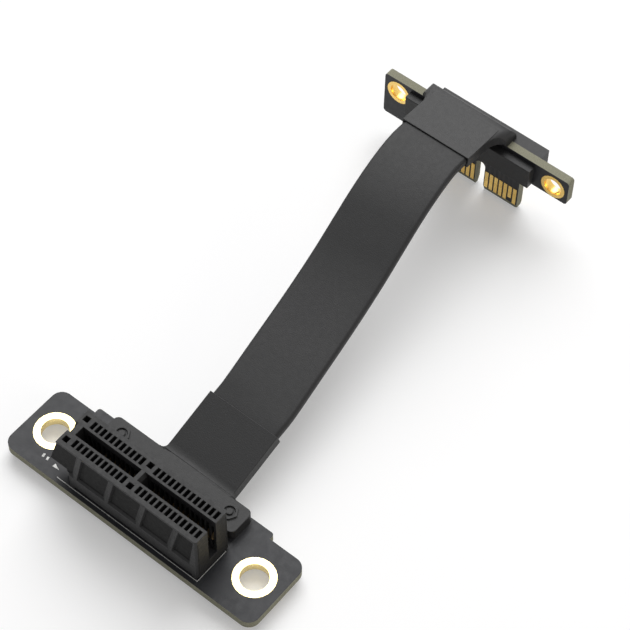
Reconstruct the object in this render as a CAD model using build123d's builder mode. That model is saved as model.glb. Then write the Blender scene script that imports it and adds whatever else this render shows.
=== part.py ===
from build123d import *
from math import radians, tan
import os

os.makedirs("parts", exist_ok=True)

# A flat-cable riser for a one-lane expansion slot. A socket board with two
# mounting holes lies flat, a ribbon cable leaves its back, and a plug board
# with gold edge fingers stands on edge at the far end.
# X runs along both connectors, Y from the socket to the plug, Z up. The origin
# is midway between the socket board's mounting holes, on its underside.

# Boards and the copper on them
board_t = 1.6
copper_t = 0.05

# Socket board, measured from the line of its mounting holes
socket_board_l = 51.7
socket_board_front = 6.9
socket_ear_back = 6.7
socket_mid_back = 7.8
socket_mid_l = 36.7
socket_corner_r = 2.0
socket_step_r = 0.5
mount_edge = 5.0
mount_hole_d = 4.7
mount_pad_d = 7.1
pad_rim_sides = 24
barrel_sides = 12

# Contact row: eleven contacts, the key, and the long part after it
contact_pitch = 1.0
key_pitch = 3.0
before_key_count = 11
socket_after_key_count = 13
plug_after_key_count = 7
first_contact_x = -11.3

# Slot housing, heights above the socket board's top
slot_y = -2.2
housing_h = 11.25
housing_w = 7.4
housing_standoff = 0.5
housing_start = 2.65
housing_end = 0.8
housing_corner = 0.3
end_recess = 0.5
end_recess_w = 2.0
slot_w = 1.86
slot_depth = 8.6
slot_start = 1.1
key_w = 1.15
key_lead_l = 0.4
key_lead_h = 0.8
slit_w = 0.6
slit_l = 1.4
slit_y = 2.12
slot_wall = 0.49
window_top = 1.6
window_sill = 0.8
core_hole = 1.0
core_hole_y = 2.35
core_hole_depth = 3.0
end_peg_x = 1.65
peg_d = 1.4
peg_l = 1.4
peg_clearance = 0.05
foot = 1.0

# Recessed panels between the leaning ribs of the long walls, and the wing
# that each wall ends in on the left
panel_depth = 0.5
panel_lip = 0.4
panel_bottom = 3.3
panel_end_margin = 1.1
panel_ledge = 0.25
panel_left_flank = 0.25
panel_right_flank = 0.8
panel_end_flank = 0.1
rib_pitch = 6.55
rib_first = 4.13
rib_count = 4
rib_w = 0.58
rib_lean = 0.24
end_lean = 0.15
wing_flare = 2.4
wing_t = 2.2
corner_relief_l = 1.85
corner_relief_depth = 1.4

# Spring contacts, offsets from the slot's middle plane
contact_w = 0.4
contact_t = 0.2
contact_bow_y = 0.78
contact_tip_y = 1.35
tail_inner_y = 1.65
tail_outer_y = 2.6
tail_l = 1.5
tail_hole = 0.55
contact_knee_rise = 0.3
contact_bow_depth = 5.2
contact_tip_depth = 4.2

# Moulded grip on the socket board: a thick half above, a thin half below
grip_l = 28.3
grip_w = 5.05
grip_front_y = 2.7
grip_top_t = 2.2
grip_bottom_t = 1.5
grip_corner_r = 1.0
anchor_d = 1.6
anchor_inset = 2.9
anchor_from_back = 2.3
peg_sides = 8
groove_sides = 12
hex_flats = 2.6
hex_h = 0.3
hex_groove_outer_d = 1.9
hex_groove_inner_d = 1.2

# Sleeves that the flat cable leaves through
sleeve_w = 13.9
sleeve_t = 2.2
sleeve_root_r = 1.0
sleeve_lead = 0.8
socket_sleeve_x = 2.7
socket_sleeve_end = 19.4
socket_sleeve_end_z = 6.1
plug_sleeve_x = -3.9

# Flat cable: its free stretch seen from the side, and how it crosses over
cable_w = 13.3
cable_t = 1.8
cable_start_y = 6.0
cable_end_gap = 2.2
cable_sag = [(30.0, 7.6), (40.5, 8.9), (49.5, 10.7), (56.5, 13.0), (63.0, 15.0), (70.0, 15.9)]
cable_straight = 3.0
cable_turn_r = 40.0

# Conductors where they are soldered, hidden in the mouldings
wire_count = 10
wire_pitch = 1.25
wire_w = 0.4
wire_t = 0.25
wire_l = 2.4
wire_stub = 0.4
wire_ramp = 0.6
wire_arch = 0.6
plug_wire_drop = 3.6
pad_w = 0.5
pad_l = 1.8
pad_beyond_wire = 0.3

# Plug board: two ears of unlike depth beside the card edge
plug_front_y = 85.7
plug_left_x = -21.2
plug_board_l = 39.1
plug_board_h = 14.65
plug_left_ear_h = 9.7
plug_right_ear_h = 5.5
plug_left_ear_l = 6.0
plug_corner_r = 0.6
plug_hole_edge = 3.05
plug_hole_d = 3.4
plug_pad_d = 4.8
plug_hole_drop = 3.0
tongue_margin = 0.65
tongue_corner = 0.5
notch_w = 1.9
notch_h = 7.0
bevel_h = 1.3
bevel_angle = 20.0
finger_w = 0.7
finger_l = 4.0
short_finger_l = 3.0

# Moulded grip on the plug board and the hook that carries the cable over it
plug_grip_bottom_gap = 0.3
plug_back_t = 2.4
plug_back_left_gap = 4.45
plug_back_right_gap = 1.45
plug_front_t = 1.55
plug_front_left_gap = 0.15
plug_front_right_gap = 1.65
plug_front_drop = 0.9
plug_anchor_drop = 3.1
hook_root_w = 17.8
hook_root_r = 2.2
hook_flare_l = 3.6
hook_back_t = 1.2
hook_bend_r = 3.0
hook_rise = 2.85
hook_seat = 1.0
hook_lip = 0.5
hook_end_y = 76.8
hook_end_z = 16.6

socket_top = board_t
underside = -grip_bottom_t
key_x = first_contact_x + (before_key_count - 1) * contact_pitch + key_pitch / 2


def contact_stations(after_key):
    """X of each contact in a row that has the key after its eleventh contact."""
    before = [first_contact_x + i * contact_pitch for i in range(before_key_count)]
    after = [before[-1] + key_pitch + i * contact_pitch for i in range(after_key)]
    return before + after


def bend_radii(points):
    """Radius at each inner corner: 0.45 of the shorter run beside it over the
    tangent of half the turn."""
    radii = []
    for before, corner, after in zip(points, points[1:], points[2:]):
        run_in = Vector(*corner) - Vector(*before)
        run_out = Vector(*after) - Vector(*corner)
        turn = radians(run_in.get_angle(run_out))
        radii.append(0.45 * min(run_in.length, run_out.length) / tan(turn / 2))
    return radii


socket_stations = contact_stations(socket_after_key_count)
plug_stations = contact_stations(plug_after_key_count)
last_contact_x = socket_stations[-1]
housing_left = first_contact_x - housing_start
housing_right = last_contact_x + housing_end
housing_top = socket_top + housing_h
housing_base = socket_top + housing_standoff
window_bottom = housing_top - slot_depth + window_sill
mount_pitch = socket_board_l - 2 * mount_edge
grip_y = grip_front_y + grip_w / 2
grip_back_y = grip_front_y + grip_w
grip_top = socket_top + grip_top_t
anchor_x = grip_l / 2 - anchor_inset
anchor_y = grip_back_y - anchor_from_back
peg_stations = [first_contact_x - end_peg_x, key_x]

# Contact tails leave in two lines a side, every second contact further out
tail_places = []
for i, x in enumerate(socket_stations):
    tail_y = tail_outer_y if i % 2 else tail_inner_y
    tail_places += [(x, slot_y - tail_y), (x, slot_y + tail_y)]

# Socket board: ears at both ends, a wider middle behind the housing, and the
# holes for the platings, the contact tails, the pegs and the moulding
with BuildPart() as socket_board:
    with BuildSketch(Plane.XY) as outline:
        with Locations((0, (socket_ear_back - socket_board_front) / 2)):
            Rectangle(socket_board_l, socket_board_front + socket_ear_back)
        fillet(outline.vertices(), socket_corner_r)
        with Locations((0, socket_mid_back / 2)):
            Rectangle(socket_mid_l, socket_mid_back)
        step_corners = outline.vertices().group_by(Axis.Y)[-1]
        fillet(step_corners, socket_step_r)
    extrude(amount=board_t)
    with BuildSketch(Plane.XY):
        with Locations((-mount_pitch / 2, 0), (mount_pitch / 2, 0)):
            RegularPolygon(mount_hole_d / 2 + copper_t, barrel_sides, major_radius=False)
        with Locations(tail_places):
            Rectangle(tail_hole, tail_hole)
        with Locations([(x, slot_y) for x in peg_stations]):
            RegularPolygon(peg_d / 2 + peg_clearance, peg_sides)
        with Locations((-anchor_x, anchor_y), (anchor_x, anchor_y)):
            RegularPolygon(anchor_d / 2, peg_sides)
    extrude(amount=board_t, mode=Mode.SUBTRACT)

# Plated rims of the two mounting holes: a barrel with a flat ring on each face
platings = {}
for side, x in (("left", -mount_pitch / 2), ("right", mount_pitch / 2)):
    with BuildPart() as plating:
        with BuildSketch(Plane.XY.offset(-copper_t)):
            with Locations((x, 0)):
                RegularPolygon(mount_pad_d / 2, pad_rim_sides)
        extrude(amount=copper_t)
        with BuildSketch(Plane.XY.offset(board_t)):
            with Locations((x, 0)):
                RegularPolygon(mount_pad_d / 2, pad_rim_sides)
        extrude(amount=copper_t)
        with BuildSketch(Plane.XY.offset(-copper_t)):
            with Locations((x, 0)):
                RegularPolygon(mount_hole_d / 2 + copper_t, barrel_sides, major_radius=False)
        extrude(amount=board_t + 2 * copper_t)
        with BuildSketch(Plane.XY.offset(-copper_t)):
            with Locations((x, 0)):
                Circle(mount_hole_d / 2)
        extrude(amount=board_t + 2 * copper_t, mode=Mode.SUBTRACT)
    platings["socket_hole_plating_" + side] = plating

# Slot housing: one moulding with an open right end, so that a longer card
# can stand in it
with BuildPart() as slot_housing:
    with BuildSketch(Plane.XY.offset(housing_base)):
        with Locations(((housing_left + housing_right) / 2, slot_y)):
            Rectangle(housing_right - housing_left, housing_w)
    extrude(amount=housing_h - housing_standoff)
    open_end_corners = slot_housing.edges().filter_by(Axis.Z).group_by(Axis.X)[-1]
    chamfer(open_end_corners, housing_corner)

    with BuildSketch(Plane.XY.offset(housing_base)):
        with Locations((housing_left + end_recess / 2, slot_y)):
            Rectangle(end_recess, end_recess_w)
    extrude(amount=housing_h - housing_standoff, mode=Mode.SUBTRACT)

    # A wing at the left end of each wall, level with the floors of the panels
    panel_top_z = housing_top - panel_lip
    panel_low_z = socket_top + panel_bottom
    wing_low_z = panel_low_z + panel_ledge
    wing_tip_x = housing_left - wing_flare
    for side in (-1, 1):
        wall_y = slot_y + side * housing_w / 2
        with BuildSketch(Plane.XZ.offset(side * panel_depth - wall_y)):
            with BuildLine():
                Polyline(
                    (housing_left + end_recess, wing_low_z),
                    (wing_tip_x, wing_low_z),
                    (housing_left, housing_top),
                    (housing_left + end_recess, housing_top),
                    close=True,
                )
            make_face()
        extrude(amount=side * wing_t)

    # Sunk panels between the ribs, with drafted flanks and a ledge below
    panel_mid_z = (panel_top_z + panel_low_z) / 2
    rib_places = [housing_left + rib_first + i * rib_pitch for i in range(rib_count)]
    panels = []
    left_x = wing_tip_x - rib_pitch
    for rib_x in rib_places:
        panels.append((left_x, rib_x - rib_w / 2, rib_lean, panel_right_flank))
        left_x = rib_x + rib_w / 2
    panels.append((left_x, housing_right - panel_end_margin, end_lean, panel_end_flank))
    for side in (-1, 1):
        wall_y = slot_y + side * housing_w / 2
        for left_x, right_x, right_lean, right_flank in panels:
            for depth, low_z, high_z, left_in, right_in in (
                (0, panel_low_z, panel_top_z, 0, 0),
                (panel_depth, wing_low_z, panel_top_z, panel_left_flank, right_flank),
            ):
                low = low_z - panel_mid_z
                high = high_z - panel_mid_z
                with BuildSketch(Plane.XZ.offset(side * depth - wall_y)):
                    with BuildLine():
                        Polyline(
                            (left_x + left_in + rib_lean * low, low_z),
                            (right_x - right_in + right_lean * low, low_z),
                            (right_x - right_in + right_lean * high, high_z),
                            (left_x + left_in + rib_lean * high, high_z),
                            close=True,
                        )
                    make_face()
            loft(ruled=True, mode=Mode.SUBTRACT)
        with BuildSketch(Plane.XZ.offset(-wall_y)):
            with Locations((housing_left + corner_relief_l / 2, (housing_base + wing_low_z) / 2)):
                Rectangle(corner_relief_l, wing_low_z - housing_base)
        extrude(amount=side * corner_relief_depth, mode=Mode.SUBTRACT)

    # The card slot, in two lengths with the key between them
    with BuildSketch(Plane.XY.offset(housing_top)):
        slot_left = first_contact_x - slot_start
        key_left = key_x - key_w / 2
        with Locations(((slot_left + key_left) / 2, slot_y)):
            Rectangle(key_left - slot_left, slot_w)
        key_right = key_x + key_w / 2
        with Locations(((key_right + housing_right) / 2, slot_y)):
            Rectangle(housing_right - key_right, slot_w)
    extrude(amount=-slot_depth, mode=Mode.SUBTRACT)
    with BuildSketch(Plane.XZ.offset(-slot_y)):
        with BuildLine():
            Polyline(
                (key_right, housing_top - key_lead_h),
                (key_right, housing_top),
                (key_right - key_lead_l, housing_top),
                close=True,
            )
        make_face()
    extrude(amount=slot_w / 2, both=True, mode=Mode.SUBTRACT)

    # A slit for each contact, open below and through a window to the slot
    with BuildSketch(Plane.XY.offset(housing_top)):
        for side in (-1, 1):
            with Locations([(x, slot_y + side * slit_y) for x in socket_stations]):
                Rectangle(slit_w, slit_l)
    extrude(amount=housing_standoff - housing_h, mode=Mode.SUBTRACT)
    with BuildSketch(Plane.XY.offset(housing_top - window_top)):
        with Locations([(x, slot_y) for x in socket_stations]):
            Rectangle(slit_w, slot_w + 2 * slot_wall)
    extrude(amount=window_bottom - housing_top + window_top, mode=Mode.SUBTRACT)

    # Blind core holes over the pegs, feet on the board, and the pegs
    with BuildSketch(Plane.XY.offset(housing_top)):
        for side in (-1, 1):
            with Locations([(x, slot_y + side * core_hole_y) for x in peg_stations]):
                Rectangle(core_hole, core_hole)
    extrude(amount=-core_hole_depth, mode=Mode.SUBTRACT)
    foot_x = [housing_left + corner_relief_l + foot / 2, housing_right - foot / 2 - housing_corner]
    foot_y = (housing_w - foot) / 2
    with BuildSketch(Plane.XY.offset(socket_top)):
        with Locations([(x, slot_y + side * foot_y) for x in foot_x for side in (-1, 1)]):
            Rectangle(foot, foot)
    extrude(amount=housing_standoff)
    with BuildSketch(Plane.XY.offset(socket_top - peg_l)):
        with Locations([(x, slot_y) for x in peg_stations]):
            RegularPolygon(peg_d / 2, peg_sides)
    extrude(amount=peg_l + housing_standoff)

# Spring contacts: each a bent strip, from its tail below the board up to the
# bow that presses on the card
contact_rows = {}
for row, side in (("front", -1), ("back", 1)):
    with BuildPart() as contacts:
        for i, x in enumerate(socket_stations):
            tail_y = tail_outer_y if i % 2 else tail_inner_y
            with BuildSketch(Plane.YZ.offset(x - contact_w / 2)):
                with BuildLine():
                    Polyline(
                        (slot_y + side * tail_y, -tail_l),
                        (slot_y + side * tail_y, window_bottom + contact_knee_rise),
                        (slot_y + side * contact_bow_y, housing_top - contact_bow_depth),
                        (slot_y + side * contact_tip_y, housing_top - contact_tip_depth),
                    )
                trace(line_width=contact_t)
            extrude(amount=contact_w)
    contact_rows["slot_contacts_" + row] = contacts

# Plug board places, from the card edge's bottom upward
plug_bottom = underside
plug_top = plug_bottom + plug_board_h
plug_back_y = plug_front_y + board_t
plug_right_x = plug_left_x + plug_board_l
plug_mid_x = (plug_left_x + plug_right_x) / 2
plug_left_ear_z = plug_top - plug_left_ear_h
plug_right_ear_z = plug_top - plug_right_ear_h
plug_hole_pitch = plug_board_l - 2 * plug_hole_edge
plug_rims_left = plug_mid_x - plug_hole_pitch / 2 + plug_pad_d / 2
plug_rims_right = plug_mid_x + plug_hole_pitch / 2 - plug_pad_d / 2
plug_front_ends = (plug_rims_left + plug_front_left_gap, plug_rims_right - plug_front_right_gap)
plug_back_ends = (plug_rims_left + plug_back_left_gap, plug_rims_right - plug_back_right_gap)
plug_grip_low = plug_right_ear_z + plug_grip_bottom_gap
hook_top_z = plug_top + hook_rise
hook_slope = (hook_end_z - hook_top_z) / (plug_front_y - hook_end_y)

# The cable's middle line, seen from the side: flat in the socket's moulding,
# up its sleeve, a gentle sag, and over to the plug
cable_flat_z = grip_top - sleeve_t / 2
hook_end_mid_z = hook_end_z - sleeve_t / 2
hook_mid_z = hook_top_z - sleeve_t / 2
cable_end_y = plug_front_y - cable_end_gap
cable_end_z = hook_mid_z - hook_slope * cable_end_gap
cable_side_points = [
    (cable_start_y, cable_flat_z),
    (grip_back_y + sleeve_lead, cable_flat_z),
    (socket_sleeve_end, socket_sleeve_end_z),
    *cable_sag,
    (hook_end_y, hook_end_mid_z),
    (cable_end_y, cable_end_z),
]
cable_plan_points = [
    (socket_sleeve_x, cable_start_y),
    (socket_sleeve_x, socket_sleeve_end + cable_straight),
    (plug_sleeve_x, hook_end_y - cable_straight),
    (plug_sleeve_x, cable_end_y),
]
print("cable bends:", [round(r, 1) for r in bend_radii(cable_side_points)])

# Flat cable: its side view and its plan view, each swept through the other
with BuildPart() as ribbon_cable:
    with BuildSketch(Plane.YZ):
        with BuildLine():
            FilletPolyline(cable_side_points, radius=bend_radii(cable_side_points))
        trace(line_width=cable_t)
    extrude(amount=cable_w * 2, both=True)
    with BuildSketch(Plane.XY):
        with BuildLine():
            FilletPolyline(cable_plan_points, radius=cable_turn_r)
        trace(line_width=cable_w)
    extrude(amount=hook_end_z + cable_t, mode=Mode.INTERSECT)

# Where the conductors leave the cable's ends
wire_x = [(i - (wire_count - 1) / 2) * wire_pitch for i in range(wire_count)]
pad_z = socket_top + copper_t
socket_wire_z = pad_z + wire_t / 2
with BuildPart() as socket_wires:
    for x in wire_x:
        with BuildSketch(Plane.YZ.offset(socket_sleeve_x + x - wire_w / 2)):
            with BuildLine():
                Polyline(
                    (cable_start_y, cable_flat_z),
                    (cable_start_y - wire_stub, cable_flat_z),
                    (cable_start_y - wire_stub - wire_ramp, socket_wire_z),
                    (cable_start_y - wire_l, socket_wire_z),
                )
            trace(line_width=wire_t)
        extrude(amount=wire_w)

socket_pad_y = cable_start_y - wire_l + pad_l / 2 - pad_beyond_wire
with BuildPart() as socket_pads:
    with BuildSketch(Plane.XY.offset(socket_top)):
        with Locations([(socket_sleeve_x + x, socket_pad_y) for x in wire_x]):
            Rectangle(pad_w, pad_l)
    extrude(amount=copper_t)

# Sleeve of the socket's moulding, with rounded roots where it leaves the grip
with BuildPart() as socket_sleeve_form:
    with BuildSketch(Plane.YZ):
        with BuildLine():
            sleeve_line = [(grip_y, cable_flat_z), *cable_side_points[1:3]]
            FilletPolyline(sleeve_line, radius=bend_radii(cable_side_points)[0])
        trace(line_width=sleeve_t)
    extrude(amount=sleeve_w * 2, both=True)
    with BuildSketch(Plane.XY):
        plan_end = socket_sleeve_end + sleeve_t
        with Locations((socket_sleeve_x, (grip_y + plan_end) / 2)):
            Rectangle(sleeve_w, plan_end - grip_y)
        root_w = sleeve_w + 2 * sleeve_root_r
        with Locations((socket_sleeve_x, grip_back_y + sleeve_root_r / 2)):
            Rectangle(root_w, sleeve_root_r)
        with Locations(
            (socket_sleeve_x - root_w / 2, grip_back_y + sleeve_root_r),
            (socket_sleeve_x + root_w / 2, grip_back_y + sleeve_root_r),
        ):
            Circle(sleeve_root_r, mode=Mode.SUBTRACT)
    extrude(amount=hook_end_z, mode=Mode.INTERSECT)

# Moulded grip of the socket board: two halves joined by pegs through it
with BuildPart() as socket_overmould:
    with BuildSketch(Plane.XY.offset(socket_top)):
        with Locations((0, grip_y)):
            RectangleRounded(grip_l, grip_w, grip_corner_r)
    extrude(amount=grip_top_t)
    with BuildSketch(Plane.XY.offset(-grip_bottom_t)):
        with Locations((0, grip_y)):
            RectangleRounded(grip_l, grip_w, grip_corner_r)
    extrude(amount=grip_bottom_t)
    with BuildSketch(Plane.XY):
        with Locations((-anchor_x, anchor_y), (anchor_x, anchor_y)):
            RegularPolygon(anchor_d / 2, peg_sides)
    extrude(amount=board_t)
    add(socket_sleeve_form.part)
    with BuildSketch(Plane.XY.offset(grip_top)):
        with Locations((-anchor_x, anchor_y), (anchor_x, anchor_y)):
            RegularPolygon(hex_flats / 2, 6, major_radius=False)
            RegularPolygon(hex_groove_outer_d / 2, groove_sides, mode=Mode.SUBTRACT)
            RegularPolygon(hex_groove_inner_d / 2, groove_sides)
    extrude(amount=hex_h)
    add(ribbon_cable.part, mode=Mode.SUBTRACT)
    add(socket_wires.part, mode=Mode.SUBTRACT)
    add(socket_pads.part, mode=Mode.SUBTRACT)

# Plug board: its outline stands in the plane of the card
tongue_left = first_contact_x - tongue_margin
tongue_right = plug_stations[-1] + tongue_margin
plug_hole_z = plug_top - plug_hole_drop
plug_holes = [(plug_mid_x - plug_hole_pitch / 2, plug_hole_z), (plug_mid_x + plug_hole_pitch / 2, plug_hole_z)]
plug_anchor_z = plug_top - plug_anchor_drop
plug_anchors = [
    (plug_back_ends[0] + anchor_inset, plug_anchor_z),
    (plug_back_ends[1] - anchor_inset, plug_anchor_z),
]
card_front = Plane.XZ.offset(-plug_front_y)
card_back = Plane.XZ.offset(-plug_back_y)
with BuildPart() as plug_board:
    with BuildSketch(card_back) as card:
        with BuildLine():
            Polyline(
                (plug_left_x, plug_top),
                (plug_left_x, plug_left_ear_z),
                (plug_left_x + plug_left_ear_l, plug_left_ear_z),
                (plug_left_x + plug_left_ear_l, plug_right_ear_z),
                (tongue_left, plug_right_ear_z),
                (tongue_left, plug_bottom + tongue_corner),
                (tongue_left + tongue_corner, plug_bottom),
                (tongue_right - tongue_corner, plug_bottom),
                (tongue_right, plug_bottom + tongue_corner),
                (tongue_right, plug_right_ear_z),
                (plug_right_x, plug_right_ear_z),
                (plug_right_x, plug_top),
                close=True,
            )
        make_face()
        end_corners = card.vertices().group_by(Axis.X)[0] + card.vertices().group_by(Axis.X)[-1]
        fillet(end_corners, plug_corner_r)
        with Locations((key_x, plug_bottom + notch_h / 2 - notch_w / 4)):
            Rectangle(notch_w, notch_h - notch_w / 2, mode=Mode.SUBTRACT)
        with Locations((key_x, plug_bottom + notch_h - notch_w / 2)):
            Circle(notch_w / 2, mode=Mode.SUBTRACT)
        with Locations(plug_holes):
            RegularPolygon(plug_hole_d / 2 + copper_t, barrel_sides, major_radius=False, mode=Mode.SUBTRACT)
        with Locations(plug_anchors):
            RegularPolygon(anchor_d / 2, peg_sides, mode=Mode.SUBTRACT)
    extrude(amount=board_t)
    bevel_t = bevel_h * tan(radians(bevel_angle))
    with BuildSketch(Plane.YZ.offset(tongue_left)):
        for face_y, inward in ((plug_front_y, 1), (plug_back_y, -1)):
            with BuildLine():
                Polyline(
                    (face_y, plug_bottom),
                    (face_y, plug_bottom + bevel_h),
                    (face_y + inward * bevel_t, plug_bottom),
                    close=True,
                )
            make_face()
    extrude(amount=tongue_right - tongue_left, mode=Mode.SUBTRACT)

for side, place in zip(("left", "right"), plug_holes):
    with BuildPart() as plating:
        with BuildSketch(card_front):
            with Locations(place):
                RegularPolygon(plug_pad_d / 2, pad_rim_sides)
        extrude(amount=copper_t)
        with BuildSketch(card_back):
            with Locations(place):
                RegularPolygon(plug_pad_d / 2, pad_rim_sides)
        extrude(amount=-copper_t)
        with BuildSketch(card_front.offset(copper_t)):
            with Locations(place):
                RegularPolygon(plug_hole_d / 2 + copper_t, barrel_sides, major_radius=False)
        extrude(amount=-(board_t + 2 * copper_t))
        with BuildSketch(card_front.offset(copper_t)):
            with Locations(place):
                Circle(plug_hole_d / 2)
        extrude(amount=-(board_t + 2 * copper_t), mode=Mode.SUBTRACT)
    platings["plug_hole_plating_" + side] = plating

# Gold fingers above the bevel, the detect finger shorter on each face
fingers = {}
finger_low = plug_bottom + bevel_h
for name, plane, outward, short_i in (
    ("plug_fingers_front", card_front, 1, len(plug_stations) - 2),
    ("plug_fingers_back", card_back, -1, 0),
):
    with BuildPart() as finger_row:
        with BuildSketch(plane):
            for i, x in enumerate(plug_stations):
                low = finger_low + (finger_l - short_finger_l if i == short_i else 0)
                high = finger_low + finger_l
                with Locations((x, (low + high) / 2)):
                    Rectangle(finger_w, high - low)
        extrude(amount=outward * copper_t)
    fingers[name] = finger_row

# Conductors come out of the cable above the board and go down its back face
plug_wire_y = plug_back_y + copper_t + wire_t / 2
plug_wire_low = plug_top - plug_wire_drop
with BuildPart() as plug_wires:
    for x in wire_x:
        with BuildSketch(Plane.YZ.offset(plug_sleeve_x + x - wire_w / 2)):
            with BuildLine():
                Polyline(
                    (cable_end_y, cable_end_z),
                    (plug_front_y + wire_arch, cable_end_z),
                    (plug_wire_y, plug_top + wire_arch),
                    (plug_wire_y, plug_wire_low),
                )
            trace(line_width=wire_t)
        extrude(amount=wire_w)

plug_pad_z = plug_wire_low + pad_l / 2 - pad_beyond_wire
with BuildPart() as plug_pads:
    with BuildSketch(card_back):
        with Locations([(plug_sleeve_x + x, plug_pad_z) for x in wire_x]):
            Rectangle(pad_w, pad_l)
    extrude(amount=-copper_t)

# Hook of the plug's moulding, seen from the side: out of the back half, over
# the card's top edge and forward to the cable
hook_back_y = plug_back_y + hook_back_t
hook_bend_y = hook_back_y - hook_bend_r
hook_inner_z = hook_top_z - sleeve_t
crest_z = hook_top_z + hook_slope * (plug_front_y - hook_bend_y)
hook_lean = sleeve_t * hook_slope
with BuildSketch(Plane.YZ.offset(plug_sleeve_x)) as hook_side:
    with BuildLine():
        Polyline(
            (hook_bend_y, crest_z),
            (hook_end_y + hook_lean, hook_end_z),
            (hook_end_y, hook_end_z - sleeve_t),
            (plug_front_y - hook_lip, hook_inner_z),
            (plug_front_y, plug_top),
            (plug_back_y, plug_top),
            (plug_back_y, plug_top - hook_seat),
            (hook_back_y, plug_top - hook_seat),
            (hook_back_y, crest_z - hook_bend_r),
        )
        RadiusArc((hook_back_y, crest_z - hook_bend_r), (hook_bend_y, crest_z), -hook_bend_r)
    make_face()

# The root of the hook flares out from its sleeve and has round shoulders
flare_y = plug_front_y - hook_lip
with BuildPart() as plug_hook_root:
    extrude(hook_side.sketch, amount=hook_root_w / 2, both=True)
    with BuildSketch(Plane.XZ.offset(hook_flare_l - flare_y)) as shoulders:
        with Locations((plug_sleeve_x, (hook_top_z + plug_top - hook_seat) / 2)):
            Rectangle(hook_root_w, hook_top_z - plug_top + hook_seat)
        fillet(shoulders.vertices().group_by(Axis.Y)[-1], hook_root_r)
    extrude(amount=flare_y - hook_flare_l - hook_back_y, mode=Mode.INTERSECT)
    with BuildSketch(Plane.XY.offset(plug_top - hook_seat)):
        with Locations((plug_sleeve_x, (flare_y - hook_flare_l + hook_back_y) / 2)):
            Rectangle(hook_root_w, hook_back_y - flare_y + hook_flare_l)
        with Locations(
            (plug_sleeve_x - hook_root_w / 2, flare_y - hook_flare_l),
            (plug_sleeve_x + hook_root_w / 2, flare_y - hook_flare_l),
        ):
            Ellipse((hook_root_w - sleeve_w) / 2, hook_flare_l, mode=Mode.SUBTRACT)
    extrude(amount=hook_rise + hook_seat + hook_bend_r, mode=Mode.INTERSECT)

# Moulded grip of the plug board, with its hook
with BuildPart() as plug_overmould:
    with BuildSketch(card_back):
        with Locations((sum(plug_back_ends) / 2, (plug_grip_low + plug_top) / 2)):
            Rectangle(plug_back_ends[1] - plug_back_ends[0], plug_top - plug_grip_low)
    extrude(amount=-plug_back_t)
    with BuildSketch(card_front):
        front_top = plug_top - plug_front_drop
        with Locations((sum(plug_front_ends) / 2, (plug_grip_low + front_top) / 2)):
            Rectangle(plug_front_ends[1] - plug_front_ends[0], front_top - plug_grip_low)
    extrude(amount=plug_front_t)
    with BuildSketch(card_back):
        with Locations(plug_anchors):
            RegularPolygon(anchor_d / 2, peg_sides)
    extrude(amount=board_t)
    extrude(hook_side.sketch, amount=sleeve_w / 2, both=True)
    add(plug_hook_root.part)
    add(ribbon_cable.part, mode=Mode.SUBTRACT)
    add(plug_wires.part, mode=Mode.SUBTRACT)
    add(plug_pads.part, mode=Mode.SUBTRACT)

pieces = {
    "socket_board": socket_board,
    "slot_housing": slot_housing,
    "socket_overmould": socket_overmould,
    "socket_wires": socket_wires,
    "socket_pads": socket_pads,
    "ribbon_cable": ribbon_cable,
    "plug_board": plug_board,
    "plug_wires": plug_wires,
    "plug_pads": plug_pads,
    "plug_overmould": plug_overmould,
    **platings,
    **contact_rows,
    **fingers,
}
for name, piece in pieces.items():
    piece.part.label = name
    export_step(piece.part, f"parts/{name}.step")
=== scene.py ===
import bmesh
import bpy
import numpy as np
from mathutils import Matrix, Vector


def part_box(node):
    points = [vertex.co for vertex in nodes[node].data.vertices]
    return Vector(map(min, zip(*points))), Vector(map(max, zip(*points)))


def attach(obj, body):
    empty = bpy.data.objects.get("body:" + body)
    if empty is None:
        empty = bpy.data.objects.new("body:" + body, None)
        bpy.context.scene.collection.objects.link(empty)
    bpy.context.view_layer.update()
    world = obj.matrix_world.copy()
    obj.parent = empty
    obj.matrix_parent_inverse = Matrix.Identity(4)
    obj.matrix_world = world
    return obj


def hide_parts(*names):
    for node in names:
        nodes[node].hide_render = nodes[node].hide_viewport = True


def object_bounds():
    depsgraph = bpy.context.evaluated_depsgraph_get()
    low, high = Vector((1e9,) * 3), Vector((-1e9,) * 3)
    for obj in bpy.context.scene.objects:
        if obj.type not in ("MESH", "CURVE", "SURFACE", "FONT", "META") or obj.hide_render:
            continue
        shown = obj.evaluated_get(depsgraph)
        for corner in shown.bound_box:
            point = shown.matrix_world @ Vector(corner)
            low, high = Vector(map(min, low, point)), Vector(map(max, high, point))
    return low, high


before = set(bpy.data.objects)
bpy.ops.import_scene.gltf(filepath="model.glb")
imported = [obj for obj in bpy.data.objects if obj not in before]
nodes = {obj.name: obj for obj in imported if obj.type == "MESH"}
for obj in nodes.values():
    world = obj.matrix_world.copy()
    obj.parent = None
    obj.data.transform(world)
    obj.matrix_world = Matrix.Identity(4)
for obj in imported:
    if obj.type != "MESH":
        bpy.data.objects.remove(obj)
cad_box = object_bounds()

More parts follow.
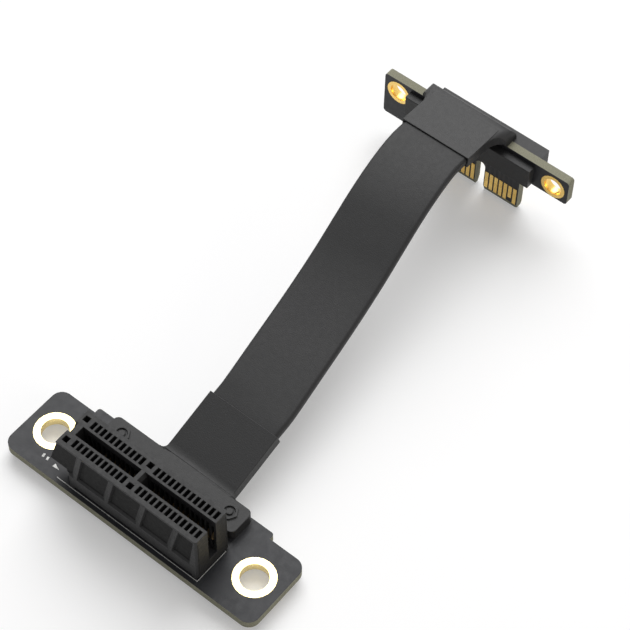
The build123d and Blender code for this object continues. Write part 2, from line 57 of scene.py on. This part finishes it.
# Camera: the photo's viewpoint, a third of a metre from the socket board, high
# over its front right corner, with a long lens. The three axes are the image's
# right, its up, and the way back from the view.
image_right = (0.77592558, 0.63072452, 0.01122835)
image_up = (-0.51935313, 0.62860931, 0.57889780)
image_back = (0.35806679, -0.45501309, 0.81532280)
camera_place = (0.12569113, -0.11948249, 0.29495330)
camera_data = bpy.data.cameras.new("camera")
camera_data.lens = 123.385
camera_data.sensor_width = 36.0
camera_data.clip_start = 0.02
camera = bpy.data.objects.new("camera", camera_data)
rows = [[image_right[i], image_up[i], image_back[i], camera_place[i]] for i in range(3)]
camera.matrix_world = Matrix(rows + [[0, 0, 0, 1]])
bpy.context.scene.collection.objects.link(camera)
bpy.context.scene.camera = camera
bpy.context.scene.view_settings.view_transform = "Standard"

# Light: an even pale room, a large soft lamp high behind the plug, which the
# flat tops reflect to the camera, and a weaker warm one from the right, low
# enough to reach into the housing's open end.
white = (1.0, 1.0, 1.0)
room_strength, seen_strength = 0.27, 1.0
lamps = (
    {"name": "lamp_behind", "place": (-0.63, 0.98, 1.3), "size": 1.6, "power": 33.0, "tint": white},
    {"name": "lamp_right", "place": (0.9, 0.1, 0.35), "size": 0.5, "power": 1.2, "tint": (1.0, 0.93, 0.8)},
)


def combine(tree, operation, first, second=0.0):
    """A Math node on one or two values, each a number or a node's output."""
    node = tree.nodes.new("ShaderNodeMath")
    node.operation = operation
    for socket, value in ((node.inputs[0], first), (node.inputs[1], second)):
        if isinstance(value, (int, float)):
            socket.default_value = value
        else:
            tree.links.new(value, socket)
    return node.outputs[0]


def seen_rays(tree):
    """One where a camera, glossy or transmission ray looks, nought elsewhere."""
    rays = tree.nodes.new("ShaderNodeLightPath").outputs
    seen = combine(tree, "MAXIMUM", rays["Is Camera Ray"], rays["Is Glossy Ray"])
    return combine(tree, "MAXIMUM", seen, rays["Is Transmission Ray"])


room = bpy.data.worlds.new("room")
bpy.context.scene.world = room
room.use_nodes = True
room_tree = room.node_tree
room_tree.nodes.clear()
room_mix = room_tree.nodes.new("ShaderNodeMixShader")
room_out = room_tree.nodes.new("ShaderNodeOutputWorld")
room_tree.links.new(seen_rays(room_tree), room_mix.inputs[0])
for socket, strength in ((room_mix.inputs[1], room_strength), (room_mix.inputs[2], seen_strength)):
    room_light = room_tree.nodes.new("ShaderNodeBackground")
    room_light.inputs["Color"].default_value = (*white, 1.0)
    room_light.inputs["Strength"].default_value = strength
    room_tree.links.new(room_light.outputs[0], socket)
room_tree.links.new(room_mix.outputs[0], room_out.inputs["Surface"])

for lamp_facts in lamps:
    lamp_data = bpy.data.lights.new(lamp_facts["name"], "AREA")
    lamp_data.size = lamp_facts["size"]
    lamp_data.energy = lamp_facts["power"]
    lamp_data.color = lamp_facts["tint"]
    lamp = bpy.data.objects.new(lamp_facts["name"], lamp_data)
    lamp.location = lamp_facts["place"]
    to_the_riser = -Vector(lamp_facts["place"])
    lamp.rotation_euler = to_the_riser.to_track_quat("-Z", "Y").to_euler()
    bpy.context.scene.collection.objects.link(lamp)

# Table: a plain white sheet at the level that the riser rests on. It looks
# near white and still keeps the riser's soft shadow.
table_level = cad_box[0][2]
table_reach = 3.0
table_colour = (0.74, 0.74, 0.745)
table_glow = 0.3
table_turns = ((-1, -1), (1, -1), (1, 1), (-1, 1))
table_corners = [(x * table_reach, y * table_reach, table_level) for x, y in table_turns]
table_mesh = bpy.data.meshes.new("table")
table_mesh.from_pydata(table_corners, [], [(0, 1, 2, 3)])
table = bpy.data.objects.new("table", table_mesh)
bpy.context.scene.collection.objects.link(table)
table_paint = bpy.data.materials.new("white_table")
table_paint.use_nodes = True
table_tree = table_paint.node_tree
table_tree.nodes.clear()
matte = table_tree.nodes.new("ShaderNodeBsdfDiffuse")
matte.inputs["Color"].default_value = (*table_colour, 1.0)
glow = table_tree.nodes.new("ShaderNodeEmission")
glow.inputs["Color"].default_value = (*white, 1.0)
glow_strength = combine(table_tree, "MULTIPLY", seen_rays(table_tree), table_glow)
table_tree.links.new(glow_strength, glow.inputs["Strength"])
both = table_tree.nodes.new("ShaderNodeAddShader")
table_tree.links.new(matte.outputs[0], both.inputs[0])
table_tree.links.new(glow.outputs[0], both.inputs[1])
table_out = table_tree.nodes.new("ShaderNodeOutputMaterial")
table_tree.links.new(both.outputs[0], table_out.inputs["Surface"])
table_mesh.materials.append(table_paint)

# Socket board: woven glass and epoxy, 1.6 mm thick, under a black solder mask
# that shows the weave and the copper tracks as a faint relief. Its routed
# edges are the bare laminate, in thin pale layers.
mm = 0.001
track_pitch, weave_pitch, layer_pitch = 1.0 * mm, 0.5 * mm, 0.2 * mm
socket_track_run = (-4.8 * mm, 7.5 * mm)
socket_track_side = (-12.5 * mm, 14.2 * mm)


def new_finish(name, colour, roughness, metallic=0.0, specular=0.5):
    """A Principled surface, its nodes, and a place on the piece in metres.

    The plain colour and roughness hold until noise is linked over them.
    """
    finish = bpy.data.materials.new(name)
    finish.use_nodes = True
    tree = finish.node_tree
    shader = tree.nodes["Principled BSDF"]
    shader.inputs["Base Color"].default_value = (*colour, 1.0)
    shader.inputs["Roughness"].default_value = roughness
    shader.inputs["Metallic"].default_value = metallic
    shader.inputs["Specular IOR Level"].default_value = specular
    place = tree.nodes.new("ShaderNodeTexCoord").outputs["Object"]
    return finish, tree, shader, place


def along_axes(tree, place):
    """The X, Y and Z of a place, by name."""
    parts = tree.nodes.new("ShaderNodeSeparateXYZ")
    tree.links.new(place, parts.inputs[0])
    return parts.outputs


def speckle(tree, place, cells, detail=3.0, low=0.0, high=1.0):
    """Noise of so many cells a metre, its usual reach spread from low to high."""
    usual_low, usual_high = 0.32, 0.68
    noise = tree.nodes.new("ShaderNodeTexNoise")
    noise.inputs["Scale"].default_value = cells
    noise.inputs["Detail"].default_value = detail
    tree.links.new(place, noise.inputs["Vector"])
    spread = tree.nodes.new("ShaderNodeMapRange")
    spread.inputs["From Min"].default_value = usual_low
    spread.inputs["From Max"].default_value = usual_high
    spread.inputs["To Min"].default_value = low
    spread.inputs["To Max"].default_value = high
    tree.links.new(noise.outputs["Fac"], spread.inputs["Value"])
    return spread.outputs["Result"]


def blend_colours(tree, amount, first, second):
    """First colour where the amount is nought, second where it is one."""
    mix = tree.nodes.new("ShaderNodeMix")
    mix.data_type = "RGBA"
    tree.links.new(amount, mix.inputs[0])
    for socket, colour in ((mix.inputs[6], first), (mix.inputs[7], second)):
        if isinstance(colour, tuple):
            socket.default_value = (*colour, 1.0)
        else:
            tree.links.new(colour, socket)
    return mix.outputs[2]


def between(tree, value, low, high, soft):
    """One from low to high, nought outside, with a soft step at both ends."""
    steps = []
    for start, end in ((low - soft, low), (high + soft, high)):
        step = tree.nodes.new("ShaderNodeMapRange")
        step.interpolation_type = "SMOOTHSTEP"
        step.inputs["From Min"].default_value = start
        step.inputs["From Max"].default_value = end
        tree.links.new(value, step.inputs["Value"])
        steps.append(step.outputs["Result"])
    return combine(tree, "MULTIPLY", steps[0], steps[1])


def relief(tree, shader, height, depth):
    """A bump of so many metres from a height between nought and one."""
    bump = tree.nodes.new("ShaderNodeBump")
    bump.inputs["Distance"].default_value = depth
    tree.links.new(height, bump.inputs["Height"])
    tree.links.new(bump.outputs["Normal"], shader.inputs["Normal"])


def stripes(tree, value, pitch, level):
    """Soft bands a pitch apart: a sine of the value, which is nought up to the
    level and one from a little above it."""
    rise = 0.3
    wave = combine(tree, "SINE", combine(tree, "MULTIPLY", value, 2 * np.pi / pitch))
    step = tree.nodes.new("ShaderNodeMapRange")
    step.inputs["From Min"].default_value = level
    step.inputs["From Max"].default_value = level + rise
    tree.links.new(wave, step.inputs["Value"])
    return step.outputs["Result"]


def laminate_finish(name, depth_axis, faces, run_axis, run_zone, side_zone):
    """Solder mask on a board's two faces, and layered laminate between them.

    The place on depth_axis tells the faces from the routed edges. Tracks run
    along run_axis and lie side by side on X, inside the two zones.
    """
    finish, tree, shader, place = new_finish(name, (0.016, 0.0165, 0.0185), 0.45, specular=0.3)
    axes = along_axes(tree, place)
    depth, run, side = axes[depth_axis], axes[run_axis], axes["X"]

    mask_skin, edge_blend, zone_blend = 0.04 * mm, 0.03 * mm, 0.3 * mm
    edge = between(tree, depth, faces[0] + mask_skin, faces[1] - mask_skin, edge_blend)
    zone = combine(tree, "MULTIPLY", between(tree, side, *side_zone, zone_blend),
                   between(tree, run, *run_zone, zone_blend))
    tracks = combine(tree, "MULTIPLY", stripes(tree, side, track_pitch, level=0.1), zone)

    mask_dark, mask_light = (0.0135, 0.014, 0.0165), (0.018, 0.0185, 0.0215)
    mask_on_track = (0.026, 0.0265, 0.028)
    resin, glass = (0.19, 0.185, 0.13), (0.37, 0.36, 0.27)
    mask = blend_colours(tree, speckle(tree, place, cells=160.0), mask_dark, mask_light)
    mask = blend_colours(tree, tracks, mask, mask_on_track)
    fibres = combine(tree, "MULTIPLY", stripes(tree, depth, layer_pitch, level=-0.2),
                     speckle(tree, place, cells=4500.0, detail=4.0, low=0.35))
    bare = blend_colours(tree, fibres, resin, glass)
    tree.links.new(blend_colours(tree, edge, mask, bare), shader.inputs["Base Color"])

    edge_dullness = 0.75
    mask_dullness = speckle(tree, place, cells=900.0, detail=4.0, low=0.4, high=0.5)
    dullness = combine(tree, "MAXIMUM", mask_dullness, combine(tree, "MULTIPLY", edge, edge_dullness))
    tree.links.new(dullness, shader.inputs["Roughness"])

    weave_height, grain_height, cut_fibre_height = 0.08, 0.3, 0.8
    weave = combine(tree, "MULTIPLY", stripes(tree, run, weave_pitch, level=-0.3),
                    stripes(tree, side, weave_pitch, level=-0.3))
    cut_fibres = combine(tree, "MULTIPLY", fibres, edge)
    height = combine(tree, "ADD", combine(tree, "MULTIPLY", weave, weave_height), tracks)
    height = combine(tree, "ADD", height, speckle(tree, place, cells=5000.0, high=grain_height))
    height = combine(tree, "ADD", height, combine(tree, "MULTIPLY", cut_fibres, cut_fibre_height))
    relief(tree, shader, height, 0.012 * mm)
    return finish


def put_on(name, finish):
    """Gives a carried-over node its finish."""
    nodes[name].data.materials.clear()
    nodes[name].data.materials.append(finish)


socket_low, socket_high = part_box("socket_board")
socket_laminate = laminate_finish("socket_laminate", depth_axis="Z", faces=(socket_low.z, socket_high.z),
                                  run_axis="Y", run_zone=socket_track_run, side_zone=socket_track_side)
put_on("socket_board", socket_laminate)


# Printing on the socket board: white ink laid through a screen, a few
# hundredths thick. An outline shows where the housing goes, a wedge marks the
# first contact, and two short bars stand beside it.
def surface(name, points, around=False, ends=False):
    """A mesh from grids of points, an array of copies, rows, columns and xyz.

    Each face joins two rows and two columns. Around joins the last column to
    the first, and ends closes the first and the last row with one face each.
    """
    copies, row_count, column_count = points.shape[:3]
    index = np.arange(row_count * column_count).reshape(row_count, column_count)
    beside = np.roll(index, -1, axis=1) if around else index[:, 1:]
    here = index if around else index[:, :-1]
    quads = np.stack([here[:-1], beside[:-1], beside[1:], here[1:]], axis=-1).reshape(-1, 4)
    shifts = np.arange(copies) * row_count * column_count
    faces = (quads[None] + shifts[:, None, None]).reshape(-1, 4).tolist()
    if ends:
        faces += (index[0, ::-1][None] + shifts[:, None]).tolist()
        faces += (index[-1][None] + shifts[:, None]).tolist()
    mesh = bpy.data.meshes.new(name)
    mesh.from_pydata(points.reshape(-1, 3).tolist(), [], faces)
    mesh.update()
    piece = bpy.data.objects.new(name, mesh)
    bpy.context.scene.collection.objects.link(piece)
    return piece


def ink_line(corners, widths, level, thickness):
    """A flat stroke through the corners, as one grid of four-sided rows.

    At each corner the stroke's side step is the sum of the two runs' side
    steps, lengthened so that both runs keep their width. The section is a low
    flat-topped bank. Its top is narrower on each side by the thickness, or by
    a quarter of the width where that is less.
    """
    corners = np.array(corners, float)
    widths = np.array(widths, float)[:, None]
    runs = np.diff(corners, axis=0)
    runs /= np.linalg.norm(runs, axis=1, keepdims=True)
    sides = np.stack([-runs[:, 1], runs[:, 0]], axis=1)
    before = np.vstack([sides[:1], sides])
    after = np.vstack([sides, sides[-1:]])
    mitre = (before + after) / (1 + (before * after).sum(axis=1, keepdims=True))
    foot_and_top = np.array([0.5, 0.5, -0.5, -0.5])
    inwards = np.array([0.0, -1.0, 1.0, 0.0])
    on_top = np.array([0.0, 1.0, 1.0, 0.0])
    offset = widths * foot_and_top + np.minimum(thickness, widths / 4) * inwards
    flat = corners[:, None, :] + mitre[:, None, :] * offset[..., None]
    height = np.broadcast_to(level + thickness * on_top, offset.shape)
    return np.concatenate([flat, height[..., None]], axis=-1)[None]


ink_finish, ink_tree, ink_shader, ink_place = new_finish("white_ink", (0.7, 0.7, 0.68), 0.6)
ink_thin, ink_full = (0.52, 0.52, 0.5), (0.82, 0.82, 0.8)
ink_cover = speckle(ink_tree, ink_place, cells=3500.0, detail=4.0)
ink_tree.links.new(blend_colours(ink_tree, ink_cover, ink_thin, ink_full), ink_shader.inputs["Base Color"])
ink_dullness = speckle(ink_tree, ink_place, cells=6000.0, detail=2.0, low=0.5, high=0.7)
ink_tree.links.new(ink_dullness, ink_shader.inputs["Roughness"])
relief(ink_tree, ink_shader, speckle(ink_tree, ink_place, cells=8000.0, detail=2.0), 0.006 * mm)
ink_level, ink_thickness = socket_high.z / mm, 0.02
line_w, bar_w, wedge_w, wedge_tip_w = 0.13, 0.4, 0.68, 0.03
outline_left, outline_right, outline_return = -14.77, 14.5, 0.45
outline_front, outline_back = -6.08, 0.68
outline_corners = [
    (outline_left, outline_front),
    (outline_right, outline_front),
    (outline_right, outline_back),
    (outline_right - outline_return, outline_back),
]
ink_marks = (
    ("housing_outline", outline_corners, [line_w] * len(outline_corners)),
    ("first_contact_wedge", [(-16.68, -4.75), (-15.4, -4.95)], [wedge_w, wedge_tip_w]),
    ("mark_bar_left", [(-19.25, -4.12), (-19.1, -4.78)], [bar_w, bar_w]),
    ("mark_bar_right", [(-18.35, -4.2), (-18.2, -4.8)], [bar_w, bar_w]),
)
for name, corners, widths in ink_marks:
    stroke = ink_line(corners, widths, ink_level, ink_thickness) * mm
    mark = surface(name, stroke, around=True, ends=True)
    mark.data.materials.append(ink_finish)
    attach(mark, "root")

# Hole platings of the socket board: copper rings and barrels under nickel and
# a thin gold, plated through the two mounting holes.
plated_edge_r = 0.02 * mm
touching = 0.001 * mm
sharp_turn = np.radians(32.0)


def metal_finish(name, dark, light, sharp, dull, grain_depth):
    """Bare or plated metal: patchy colour, uneven gloss and a fine grain."""
    finish, tree, shader, place = new_finish(name, light, dull, metallic=1.0)
    patches = speckle(tree, place, cells=700.0)
    tree.links.new(blend_colours(tree, patches, dark, light), shader.inputs["Base Color"])
    dullness = speckle(tree, place, cells=2500.0, detail=4.0, low=sharp, high=dull)
    tree.links.new(dullness, shader.inputs["Roughness"])
    relief(tree, shader, speckle(tree, place, cells=7000.0, detail=2.0), grain_depth)
    return finish


def soften_edges(name, radius):
    """Rounds a node's sharp edges by the radius that its mould or tool leaves.

    The node's loose triangles are joined, and each edge with a sharp turn is
    cut back in two steps.
    """
    join = nodes[name].modifiers.new("join", "WELD")
    join.merge_threshold = touching
    cut = nodes[name].modifiers.new("cut", "BEVEL")
    cut.width = radius
    cut.segments = 2
    cut.limit_method = "ANGLE"
    cut.angle_limit = sharp_turn
    cut.use_clamp_overlap = False


pale_gold = metal_finish("pale_gold", dark=(0.88, 0.72, 0.34), light=(0.95, 0.81, 0.43),
                         sharp=0.24, dull=0.36, grain_depth=0.003 * mm)
for name in ("socket_hole_plating_left", "socket_hole_plating_right"):
    put_on(name, pale_gold)
    soften_edges(name, plated_edge_r)

# Slot housing: one moulding of glass-filled plastic, pressed into the board on
# its pegs. The glass leaves a fine dull grain. The sunk panels' floors are
# rougher, and painted darker as painted shade in the recesses.
slot_middle_y = -2.2
panel_floor_depths = (3.15, 3.28)
panel_floor_heights = (3.0, 11.8)


def moulded_finish(name, dark, light, sharp, dull, grain_cells, grain_depth, rough_and_shaded_zone=None):
    """Black plastic: patchy colour, uneven gloss and a fine grain.

    The zone is a function that gives one on the sunk panels' floors. There
    the plastic is duller, and darker as painted shade.
    """
    # The near-black colour on the zone is painted shade for the recesses.
    painted_shade_colour, rough_dullness = (0.003, 0.003, 0.003), 0.3
    finish, tree, shader, place = new_finish(name, light, dull, specular=0.3)
    colour = blend_colours(tree, speckle(tree, place, cells=260.0, detail=4.0), dark, light)
    dullness = speckle(tree, place, cells=1500.0, detail=4.0, low=sharp, high=dull)
    if rough_and_shaded_zone:
        rough_and_shaded = rough_and_shaded_zone(tree, along_axes(tree, place))
        colour = blend_colours(tree, rough_and_shaded, colour, painted_shade_colour)
        dullness = combine(tree, "ADD", dullness, combine(tree, "MULTIPLY", rough_and_shaded, rough_dullness))
    tree.links.new(colour, shader.inputs["Base Color"])
    tree.links.new(dullness, shader.inputs["Roughness"])
    relief(tree, shader, speckle(tree, place, cells=grain_cells), grain_depth)
    return finish


def panel_floors(tree, axes):
    """One on the floors of the sunk panels, which lie at one distance from the
    slot's middle plane on either side, between two heights."""
    depth_blend, height_blend = 0.04 * mm, 0.2 * mm
    near, far = (depth * mm for depth in panel_floor_depths)
    low, high = (height * mm for height in panel_floor_heights)
    from_middle = combine(tree, "ABSOLUTE", combine(tree, "SUBTRACT", axes["Y"], slot_middle_y * mm))
    at_depth = between(tree, from_middle, near, far, depth_blend)
    return combine(tree, "MULTIPLY", at_depth, between(tree, axes["Z"], low, high, height_blend))


# Panel floors: rougher, and painted darker as painted shade in the recesses.
slot_finish = moulded_finish("slot_black", dark=(0.012, 0.012, 0.0125), light=(0.017, 0.017, 0.0175),
                             sharp=0.46, dull=0.58, grain_cells=6000.0, grain_depth=0.012 * mm,
                             rough_and_shaded_zone=panel_floors)
put_on("slot_housing", slot_finish)
soften_edges("slot_housing", 0.05 * mm)

# Spring contacts: stamped bronze strips with a dull dark plating, standing in
# the housing's slits with their tails through the board.
contact_bronze = metal_finish("contact_bronze", dark=(0.16, 0.12, 0.07), light=(0.26, 0.2, 0.12),
                              sharp=0.45, dull=0.6, grain_depth=0.004 * mm)
for name in ("slot_contacts_front", "slot_contacts_back"):
    put_on(name, contact_bronze)

# Solder joints: each tail is soldered below the board to a round pad, in a
# bright cone that rises steeply round the tail. Tails stand in two lines a
# side, every second one further out.
first_contact_x, contact_pitch, key_pitch = -11.3, 1.0, 3.0
contacts_before_key, contacts_after_key = 11, 13
tail_inner_y, tail_outer_y = 1.65, 2.6
cone_r = np.array([0.62, 0.62, 0.5, 0.4, 0.33, 0.29, 0.25, 0.12])
cone_z = np.array([0.0, -0.04, -0.09, -0.2, -0.36, -0.56, -0.78, -0.86])
cone_sides = 12
before_key = first_contact_x + np.arange(contacts_before_key) * contact_pitch
after_key = before_key[-1] + key_pitch + np.arange(contacts_after_key) * contact_pitch
row_x = np.concatenate([before_key, after_key])
row_y = np.where(np.arange(len(row_x)) % 2, tail_outer_y, tail_inner_y)
tail_x = np.concatenate([row_x, row_x])
tail_y = slot_middle_y + np.concatenate([-row_y, row_y])
tails = np.stack([tail_x, tail_y, np.zeros(len(tail_x))], axis=-1)
turn = np.arange(cone_sides) * 2 * np.pi / cone_sides
ring = np.stack([np.cos(turn), -np.sin(turn)], axis=-1)
cone_flat = cone_r[:, None, None] * ring[None]
cone_height = np.broadcast_to(cone_z[:, None, None], (len(cone_z), cone_sides, 1))
cone = np.concatenate([cone_flat, cone_height], axis=-1)
solder_joints = surface("solder_joints", (cone[None] + tails[:, None, None]) * mm, around=True, ends=True)
solder_joints.data.shade_smooth()
solder = metal_finish("solder", dark=(0.62, 0.62, 0.63), light=(0.86, 0.86, 0.85),
                      sharp=0.18, dull=0.4, grain_depth=0.008 * mm)
solder_joints.data.materials.append(solder)
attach(solder_joints, "root")

# Pads and wires: gold-plated pads under the mouldings, with the cable's bare
# copper conductors soldered on them.
bare_copper = metal_finish("bare_copper", dark=(0.7, 0.38, 0.24), light=(0.85, 0.52, 0.35),
                           sharp=0.28, dull=0.45, grain_depth=0.004 * mm)
for end in ("socket", "plug"):
    put_on(end + "_pads", pale_gold)
    put_on(end + "_wires", bare_copper)

# Flat cable: shielded pairs side by side in one smooth black jacket with round
# edges, drawn through a die, which leaves faint lines along it. It leaves one
# sleeve, rises, and goes over into the other, which is set off to the left.
side_line = np.array([
    (6.0, 2.7), (7.6, 2.7), (9.6, 3.03), (13.5, 4.25), (19.4, 6.1), (30.0, 7.6), (40.5, 8.9), (49.5, 10.7),
    (56.5, 13.0), (63.0, 15.0), (70.0, 15.9), (76.8, 15.5), (83.5, 14.752),
])
cable_w, cable_t, cable_edge_r = 13.3, 1.8, 0.62
plan_start_x, plan_end_x = 2.7, -3.9
plan_start_y, plan_end_y = 22.4, 73.8
plan_bend = 2.6
bend_points, quarter_points, flat_points = 12, 7, 14


def smooth_line(corners, points_a_bend):
    """Points on a curve that touches each run of the corners at its middle.

    Between two middles it is the quadratic blend of the first middle, the
    corner and the next middle. The first and last runs start at their ends.
    """
    middles = (corners[:-1] + corners[1:]) / 2
    middles[0], middles[-1] = corners[0], corners[-1]
    share = np.linspace(0, 1, points_a_bend, endpoint=False)[None, :, None]
    first, corner, second = middles[:-1, None], corners[1:-1, None], middles[1:, None]
    curve = (1 - share) ** 2 * first + 2 * share * (1 - share) * corner + share**2 * second
    return np.vstack([curve.reshape(-1, 2), corners[-1:]])


def soft_ramp(value, bend):
    """Nought below, the value above, and a smooth turn about as long as bend."""
    return (value + np.sqrt(value**2 + (bend / 2) ** 2)) / 2


def flat_section(width, thickness, edge_r):
    """The cable's outline across its run, clockwise: four quarter rounds about
    their centres, joined by straight runs over the top and the bottom."""
    centre_x, centre_z = width / 2 - edge_r, thickness / 2 - edge_r
    quarter = np.radians(np.linspace(0, 90, quarter_points))
    rounds = []
    for number, (side, top) in enumerate(((1, 1), (-1, 1), (-1, -1), (1, -1))):
        angle = quarter + number * np.pi / 2
        rounds.append(np.stack([side * centre_x + edge_r * np.cos(angle),
                                top * centre_z + edge_r * np.sin(angle)], axis=-1))
    top_run = np.linspace(rounds[0][-1], rounds[1][0], flat_points)[1:-1]
    bottom_run = np.linspace(rounds[2][-1], rounds[3][0], flat_points)[1:-1]
    return np.vstack([rounds[0], top_run, rounds[1], rounds[2], bottom_run, rounds[3]])[::-1]


run_y, run_z = smooth_line(side_line, bend_points).T
lean = (plan_end_x - plan_start_x) / (plan_end_y - plan_start_y)
leaning_run = soft_ramp(run_y - plan_start_y, plan_bend) - soft_ramp(run_y - plan_end_y, plan_bend)
middle_line = np.stack([plan_start_x + lean * leaning_run, run_y, run_z], axis=-1)
along_line = np.gradient(middle_line, axis=0)
along_line /= np.linalg.norm(along_line, axis=1, keepdims=True)
width_way = np.stack([along_line[:, 1], -along_line[:, 0], np.zeros(len(along_line))], axis=-1)
width_way /= np.linalg.norm(width_way, axis=1, keepdims=True)
up_way = np.cross(width_way, along_line)
section = flat_section(cable_w, cable_t, cable_edge_r)
jacket_points = (middle_line[:, None] + width_way[:, None] * section[None, :, :1]
                 + up_way[:, None] * section[None, :, 1:])
jacket = surface("cable_jacket", jacket_points[None] * mm, around=True, ends=True)
jacket.data.shade_smooth()
step_lengths = np.linalg.norm(np.diff(middle_line, axis=0), axis=1)
travelled = np.concatenate([[0], np.cumsum(step_lengths)])
grid = jacket_points.shape[:2]
jacket_place = np.stack([
    np.broadcast_to(section[None, :, 0], grid),
    np.broadcast_to(travelled[:, None], grid),
    jacket_points[..., 2],
], axis=-1) * mm
jacket_attribute = jacket.data.attributes.new("jacket_place", "FLOAT_VECTOR", "POINT")
jacket_attribute.data.foreach_set("vector", jacket_place.reshape(-1))
jacket_dark, jacket_light = (0.0105, 0.0105, 0.011), (0.0125, 0.0125, 0.013)
die_line_squeeze, die_line_height = 0.03, 0.35
jacket_finish, jacket_tree, jacket_shader, jacket_object = new_finish(
    "jacket_black", (0.014, 0.014, 0.0145), 0.55, specular=0.3)
jacket_patches = speckle(jacket_tree, jacket_object, cells=110.0)
jacket_colour = blend_colours(jacket_tree, jacket_patches, jacket_dark, jacket_light)
jacket_tree.links.new(jacket_colour, jacket_shader.inputs["Base Color"])
jacket_dullness = speckle(jacket_tree, jacket_object, cells=1300.0, low=0.53, high=0.58)
jacket_tree.links.new(jacket_dullness, jacket_shader.inputs["Roughness"])
drawn = jacket_tree.nodes.new("ShaderNodeAttribute")
drawn.attribute_name = "jacket_place"
stretch = jacket_tree.nodes.new("ShaderNodeMapping")
stretch.inputs["Scale"].default_value = (1.0, die_line_squeeze, 1.0)
jacket_tree.links.new(drawn.outputs["Vector"], stretch.inputs["Vector"])
die_lines = speckle(jacket_tree, stretch.outputs["Vector"], cells=2600.0)
jacket_grain = speckle(jacket_tree, jacket_object, cells=5200.0)
jacket_height = combine(jacket_tree, "ADD", combine(jacket_tree, "MULTIPLY", die_lines, die_line_height),
                        jacket_grain)
relief(jacket_tree, jacket_shader, jacket_height, 0.01 * mm)
jacket.data.materials.append(jacket_finish)
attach(jacket, "root")
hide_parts("ribbon_cable")

# Socket grip: black plastic shot over the cable's soldered ends, in two halves
# that meet through the board. Two hexagonal bosses and the cable's sleeve are
# part of it.
grip_finish = moulded_finish("grip_black", dark=(0.0155, 0.0155, 0.016), light=(0.0175, 0.0175, 0.018),
                             sharp=0.47, dull=0.52, grain_cells=5000.0, grain_depth=0.01 * mm)
put_on("socket_overmould", grip_finish)
soften_edges("socket_overmould", 0.08 * mm)

# Plug board: the same laminate, standing upright. Its lower tongue goes into a
# slot, and its top edge shows bare and pale.
plug_track_run = (2.0 * mm, 9.0 * mm)
plug_track_side = (-12.5 * mm, 8.5 * mm)
plug_low, plug_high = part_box("plug_board")
plug_laminate = laminate_finish("plug_laminate", depth_axis="Y", faces=(plug_low.y, plug_high.y),
                                run_axis="Z", run_zone=plug_track_run, side_zone=plug_track_side)
put_on("plug_board", plug_laminate)

# Hole platings and edge fingers of the plug board: the same gold, painted a
# deeper, darker yellow as painted shade for these upright faces.
# The deeper yellow here is painted shade, not a different gold.
gold_with_painted_shade = metal_finish("gold_with_painted_shade", dark=(0.82, 0.54, 0.15), light=(0.93, 0.66, 0.22),
                         sharp=0.2, dull=0.32, grain_depth=0.003 * mm)
for name in ("plug_hole_plating_left", "plug_hole_plating_right"):
    put_on(name, gold_with_painted_shade)
    soften_edges(name, plated_edge_r)
for name in ("plug_fingers_front", "plug_fingers_back"):
    put_on(name, gold_with_painted_shade)

# Plug grip: the second moulding, a block on each face of the plug board and
# the hook that carries the cable over the board's top. Its outer edges are
# rounded, and the anchors inside the board's holes keep theirs.
plug_edge_r = 0.1 * mm
seat_margin = 0.01 * mm


def clear_of_board(edge):
    """True for an edge with neither end between the board's faces."""
    low, high = plug_low.y - seat_margin, plug_high.y + seat_margin
    return not any(low < corner.co.y < high for corner in edge.verts)


plug_form = bmesh.new()
plug_form.from_mesh(nodes["plug_overmould"].data)
bmesh.ops.remove_doubles(plug_form, verts=plug_form.verts, dist=touching)
plug_edges = [edge for edge in plug_form.edges
              if clear_of_board(edge) and edge.is_manifold and edge.calc_face_angle() > sharp_turn]
bmesh.ops.bevel(plug_form, geom=plug_edges, offset=plug_edge_r, segments=2, profile=0.5, affect="EDGES")
plug_mesh = bpy.data.meshes.new("plug_grip")
plug_form.to_mesh(plug_mesh)
plug_form.free()
plug_grip = bpy.data.objects.new("plug_grip", plug_mesh)
bpy.context.scene.collection.objects.link(plug_grip)
plug_mesh.materials.append(grip_finish)
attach(plug_grip, "root")
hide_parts("plug_overmould")
